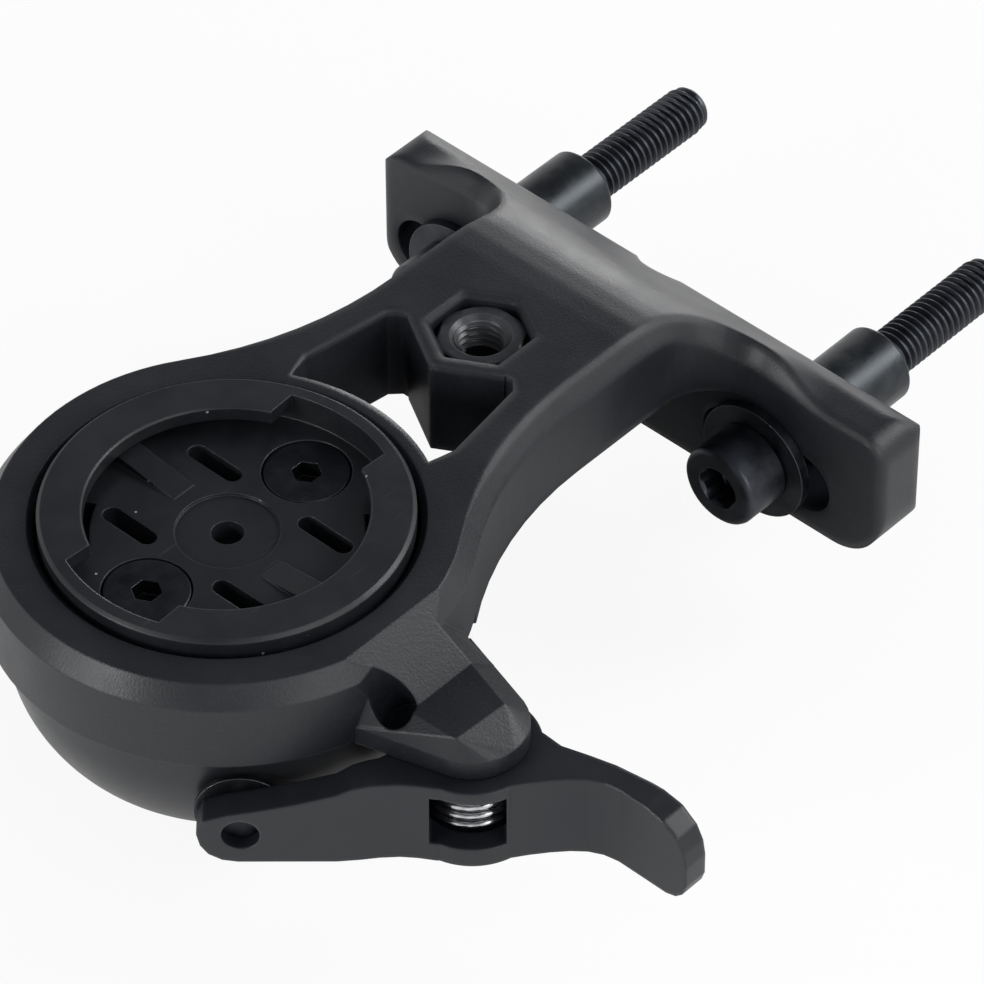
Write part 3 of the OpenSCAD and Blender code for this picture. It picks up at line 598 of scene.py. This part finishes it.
# Washers and spacers: turned parts, the washers blackened and the spacers black anodised.
# The spacers carry fine hair scratches.
spacer_finish = plated_metal(
    "spacer_finish", (0.030, 0.033, 0.036), (0.16, 0.165, 0.175), 0.3, 0.4, 0.0003, metallic=0.85
)
dress(bolt_steel, "left_washer", "right_washer")
dress(spacer_finish, "left_spacer", "right_spacer")


# Studio: a white sweep under soft lamps, with the camera above the right front of the head.
# The sweep is seen as white and takes the shadow of the mount; a painted shadow dims its glow under it, seen
# in reflections.
# Shiny faces reflect a ceiling that is darker than the walls.
def seen_directly(tree):
    """1 for camera, glossy and transmission rays, otherwise 0."""
    path = add_node(tree, "LightPath")
    total = path.outputs["Is Camera Ray"]
    for ray in ("Is Glossy Ray", "Is Transmission Ray"):
        either = add_node(tree, "Math", operation="MAXIMUM")
        tree.links.new(total, either.inputs[0])
        tree.links.new(path.outputs[ray], either.inputs[1])
        total = either.outputs[0]
    return total


floor_z = solid_low[2] - 0.0003
sweep_mesh = bmesh.new()
bmesh.ops.create_grid(sweep_mesh, x_segments=2, y_segments=2, size=3)
bmesh.ops.translate(sweep_mesh, vec=(0, 0, floor_z), verts=sweep_mesh.verts)
sweep_data = bpy.data.meshes.new("sweep")
sweep_mesh.to_mesh(sweep_data)
sweep_mesh.free()
sweep = bpy.data.objects.new("sweep", sweep_data)
bpy.context.scene.collection.objects.link(sweep)

sweep_white = bpy.data.materials.new("sweep_white")
sweep_white.use_nodes = True
tree = sweep_white.node_tree
tree.nodes.clear()
paper = add_node(tree, "BsdfDiffuse", {"Color": (0.86, 0.86, 0.86, 1)})
glow = add_node(tree, "Emission", {"Color": (1, 1, 1, 1), "Strength": 1})
blend = add_node(tree, "MixShader")
end = add_node(tree, "OutputMaterial")
tree.links.new(vary(tree, seen_directly(tree), 0, 0.9), blend.inputs["Fac"])
# Painted shadow: reflections see the glow dimmed in a disc under the mount.
spot = add_node(tree, "VectorMath", {1: (0, 0.026, floor_z)}, operation="DISTANCE")
tree.links.new(add_node(tree, "TexCoord").outputs["Object"], spot.inputs[0])
under = add_node(tree, "MapRange", {"From Min": 0.018, "From Max": 0.055, "To Min": 0.1, "To Max": 1})
tree.links.new(spot.outputs["Value"], under.inputs["Value"])
glow_with_painted_shadow = add_node(tree, "Math", operation="MAXIMUM")
tree.links.new(under.outputs["Result"], glow_with_painted_shadow.inputs[0])
tree.links.new(add_node(tree, "LightPath").outputs["Is Camera Ray"], glow_with_painted_shadow.inputs[1])
tree.links.new(glow_with_painted_shadow.outputs[0], glow.inputs["Strength"])
tree.links.new(paper.outputs[0], blend.inputs[1])
tree.links.new(glow.outputs[0], blend.inputs[2])
tree.links.new(blend.outputs[0], end.inputs["Surface"])
sweep_data.materials.append(sweep_white)

world = bpy.data.worlds.new("studio")
bpy.context.scene.world = world
world.use_nodes = True
tree = world.node_tree
backdrop = tree.nodes["Background"]
tree.links.new(vary(tree, seen_directly(tree), 0.42, 1), backdrop.inputs["Strength"])
height = add_node(tree, "SeparateXYZ")
tree.links.new(add_node(tree, "TexCoord").outputs["Generated"], height.inputs[0])
ceiling = add_node(tree, "MapRange", {"From Min": 0.1, "From Max": 0.6}, interpolation_type="SMOOTHSTEP")
tree.links.new(height.outputs["Z"], ceiling.inputs["Value"])
shade = add_node(tree, "Math", operation="MULTIPLY")
tree.links.new(ceiling.outputs["Result"], shade.inputs[0])
tree.links.new(add_node(tree, "LightPath").outputs["Is Glossy Ray"], shade.inputs[1])
tree.links.new(mix_colours(tree, shade.outputs[0], (1, 1, 1), (0.16, 0.175, 0.2)), backdrop.inputs["Color"])


def soft_lamp(name, place, aim, size, power):
    """A square lamp that faces the point it is aimed at."""
    lamp = bpy.data.lights.new(name, "AREA")
    lamp.shape = "SQUARE"
    lamp.size = size
    lamp.energy = power
    holder = bpy.data.objects.new(name, lamp)
    holder.location = place
    holder.rotation_euler = (Vector(place) - Vector(aim)).to_track_quat("Z", "Y").to_euler()
    bpy.context.scene.collection.objects.link(holder)


soft_lamp("back_lamp", (0.30, 0.46, 0.34), (0, 0.04, -0.01), 0.26, 2.2)
soft_lamp("right_lamp", (0.55, -0.05, 0.30), (0, 0.03, -0.01), 0.30, 1.2)
soft_lamp("front_lamp", (-0.12, -0.55, 0.17), (0, 0, -0.01), 0.16, 1.6)
soft_lamp("far_lamp", (-0.30, 0.54, 0.04), (0, 0.06, -0.01), 0.12, 0.45)

camera = bpy.data.cameras.new("camera")
camera.sensor_width = 36
camera.lens = 236.10
camera.clip_start = 0.01
camera_object = bpy.data.objects.new("camera", camera)
right = Vector((0.7386, 0.6742, -0.0021))
up = Vector((-0.4664, 0.5132, 0.7205))
back = Vector((0.4868, -0.5311, 0.6935))
camera_object.matrix_world = Matrix.Translation((0.29757, -0.28956, 0.40187)) @ Matrix(
    (right, up, back)
).transposed().to_4x4()
bpy.context.scene.collection.objects.link(camera_object)
bpy.context.scene.camera = camera_object
bpy.context.scene.view_settings.view_transform = "Standard"
